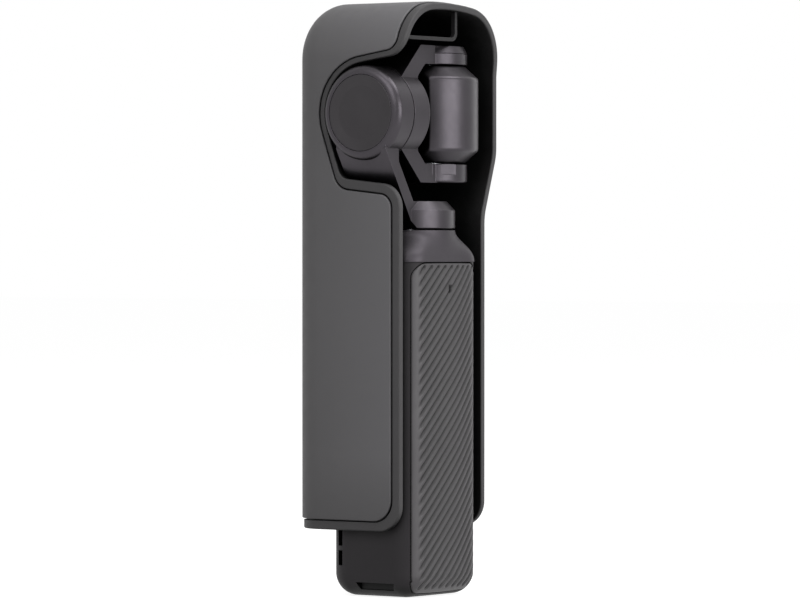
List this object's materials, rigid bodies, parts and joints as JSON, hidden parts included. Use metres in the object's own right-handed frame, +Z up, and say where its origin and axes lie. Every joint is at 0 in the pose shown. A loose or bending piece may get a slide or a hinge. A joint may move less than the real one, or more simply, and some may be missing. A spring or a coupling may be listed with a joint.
{
  "type": "pocket gimbal camera",
  "caption": "Slim upright pocket camera whose small head hangs in a three-axis motorised gimbal, stored inside a clip-on protective cover with an open back and a side notch.",
  "frame": {"origin": "middle of the handle's flat base", "axes": "+Z up along the handle, -Y out of the screen side, +Y out of the ribbed back, +X towards the roll motor's cap"},
  "size_m": [0.0455, 0.0374, 0.1504],
  "materials": {
    "chassis": "satin",
    "front_panel": "satin",
    "grip_plate": "satin ribbed",
    "neck_collar": "satin",
    "housing_screws": "satin",
    "latch_plates": "satin",
    "usb_port": "satin",
    "port_board": "matte",
    "battery_cells": "foil",
    "battery_tray": "matte",
    "main_board": "matte",
    "board_chips": "matte",
    "heat_spreader": "satin",
    "speaker": "matte",
    "microphones": "satin",
    "status_led": "clear",
    "card_socket": "satin",
    "stick_base": "matte",
    "record_switch": "matte",
    "record_ring": "gloss",
    "screen_bearing": "satin",
    "pan_post": "satin",
    "pan_bearings": "polished",
    "pan_stator": "wound",
    "memory_card": "gloss",
    "screen_frame": "satin",
    "screen_panel": "gloss",
    "screen_glass": "gloss",
    "screen_pivot": "satin",
    "stick_cradle": "satin",
    "stick_stem": "matte",
    "stick_cap": "matte",
    "record_button": "satin",
    "pan_arm": "satin",
    "pan_rotor": "satin",
    "roll_cap": "satin",
    "roll_post": "satin",
    "roll_bearings": "polished",
    "roll_stator": "wound",
    "yoke": "satin",
    "roll_rotor": "satin",
    "tilt_caps": "satin",
    "tilt_post": "satin",
    "tilt_bearings": "polished",
    "tilt_stator": "wound",
    "tilt_pin": "polished",
    "camera_shell": "satin",
    "camera_front": "satin",
    "lens_ring": "satin",
    "lens_glass": "polished",
    "lens_barrel": "matte",
    "lens_elements": "polished",
    "sensor_board": "matte",
    "tilt_rotor": "satin",
    "head_bearing": "polished",
    "cover_shell": "satin",
    "cover_liner": "satin",
    "cover_pocket": "satin",
    "cover_pads": "matte"
  },
  "bodies": {
    "handle": {"chassis": "chassis", "front_panel": "front_panel", "grip_plate": "grip_plate", "neck_collar": "neck_collar", "housing_screws": "housing_screws", "latch_plates": "latch_plates", "usb_port": "usb_port", "port_board": "port_board", "battery_cells": "battery_cells", "battery_tray": "battery_tray", "main_board": "main_board", "board_chips": "board_chips", "heat_spreader": "heat_spreader", "speaker": "speaker", "microphones": "microphones", "status_led": "status_led", "card_socket": "card_socket", "stick_base": "stick_base", "record_switch": "record_switch", "record_ring": "record_ring", "screen_bearing": "screen_bearing", "pan_post": "pan_post", "pan_bearings": "pan_bearings", "pan_stator": "pan_stator"},
    "screen": {"screen_frame": "screen_frame", "screen_panel": "screen_panel", "screen_glass": "screen_glass", "screen_pivot": "screen_pivot"},
    "card": {"memory_card": "memory_card"},
    "stick_rocker": {"stick_cradle": "stick_cradle"},
    "stick": {"stick_stem": "stick_stem", "stick_cap": "stick_cap"},
    "record_key": {"record_button": "record_button"},
    "pan_unit": {"pan_arm": "pan_arm", "pan_rotor": "pan_rotor", "roll_cap": "roll_cap", "roll_post": "roll_post", "roll_bearings": "roll_bearings", "roll_stator": "roll_stator"},
    "yoke_unit": {"yoke": "yoke", "roll_rotor": "roll_rotor", "tilt_caps": "tilt_caps", "tilt_post": "tilt_post", "tilt_bearings": "tilt_bearings", "tilt_stator": "tilt_stator", "tilt_pin": "tilt_pin"},
    "camera": {"camera_shell": "camera_shell", "camera_front": "camera_front", "lens_ring": "lens_ring", "lens_glass": "lens_glass", "lens_barrel": "lens_barrel", "lens_elements": "lens_elements", "sensor_board": "sensor_board", "tilt_rotor": "tilt_rotor", "head_bearing": "head_bearing"},
    "cover": {"cover_shell": "cover_shell", "cover_liner": "cover_liner", "cover_pocket": "cover_pocket", "cover_pads": "cover_pads"}
  },
  "joints": [
    {"name": "cover_slide", "type": "slide", "parent": "handle", "child": "cover", "axis": [0, -1, 0], "range_m": [0, 0.43]},
    {"name": "pan_turn", "type": "hinge", "parent": "handle", "child": "pan_unit", "pos_m": [0, 0.0009, 0.0965], "axis": [0, 0, 1], "range_deg": [-153, 150]},
    {"name": "screen_turn", "type": "hinge", "parent": "handle", "child": "screen", "pos_m": [0, -0.0136, 0.0575], "axis": [0, 1, 0], "range_deg": [0, 90]},
    {"name": "roll_turn", "type": "hinge", "parent": "pan_unit", "child": "yoke_unit", "pos_m": [0.0135, 0.0009, 0.122], "axis": [1, 0, 0], "range_deg": [-130, 153]},
    {"name": "tilt_turn", "type": "hinge", "parent": "yoke_unit", "child": "camera", "pos_m": [-0.0082, 0.0009, 0.122], "axis": [0, 0, 1], "range_deg": [-90, 188]},
    {"name": "stick_tilt", "type": "hinge", "parent": "handle", "child": "stick_rocker", "pos_m": [-0.0062, -0.0102, 0.021], "axis": [1, 0, 0], "range_deg": [-8, 8], "stiffness_Nm_per_rad": 0.03},
    {"name": "stick_turn", "type": "hinge", "parent": "stick_rocker", "child": "stick", "pos_m": [-0.0062, -0.0102, 0.021], "axis": [0, 0, 1], "range_deg": [-8, 8], "stiffness_Nm_per_rad": 0.03},
    {"name": "record_press", "type": "slide", "parent": "handle", "child": "record_key", "axis": [0, 1, 0], "range_m": [0, 0.0005], "stiffness_N_per_m": 2400},
    {"name": "card_push", "type": "slide", "parent": "handle", "child": "card", "axis": [1, 0, 0], "range_m": [0, 0.0006], "stiffness_N_per_m": 2400}
  ],
  "couplings": [
    {"joint": "pan_turn", "follows": "cover_slide", "rad_per_m": -6.2101},
    {"joint": "screen_turn", "follows": "cover_slide", "rad_per_m": 3.653}
  ]
}
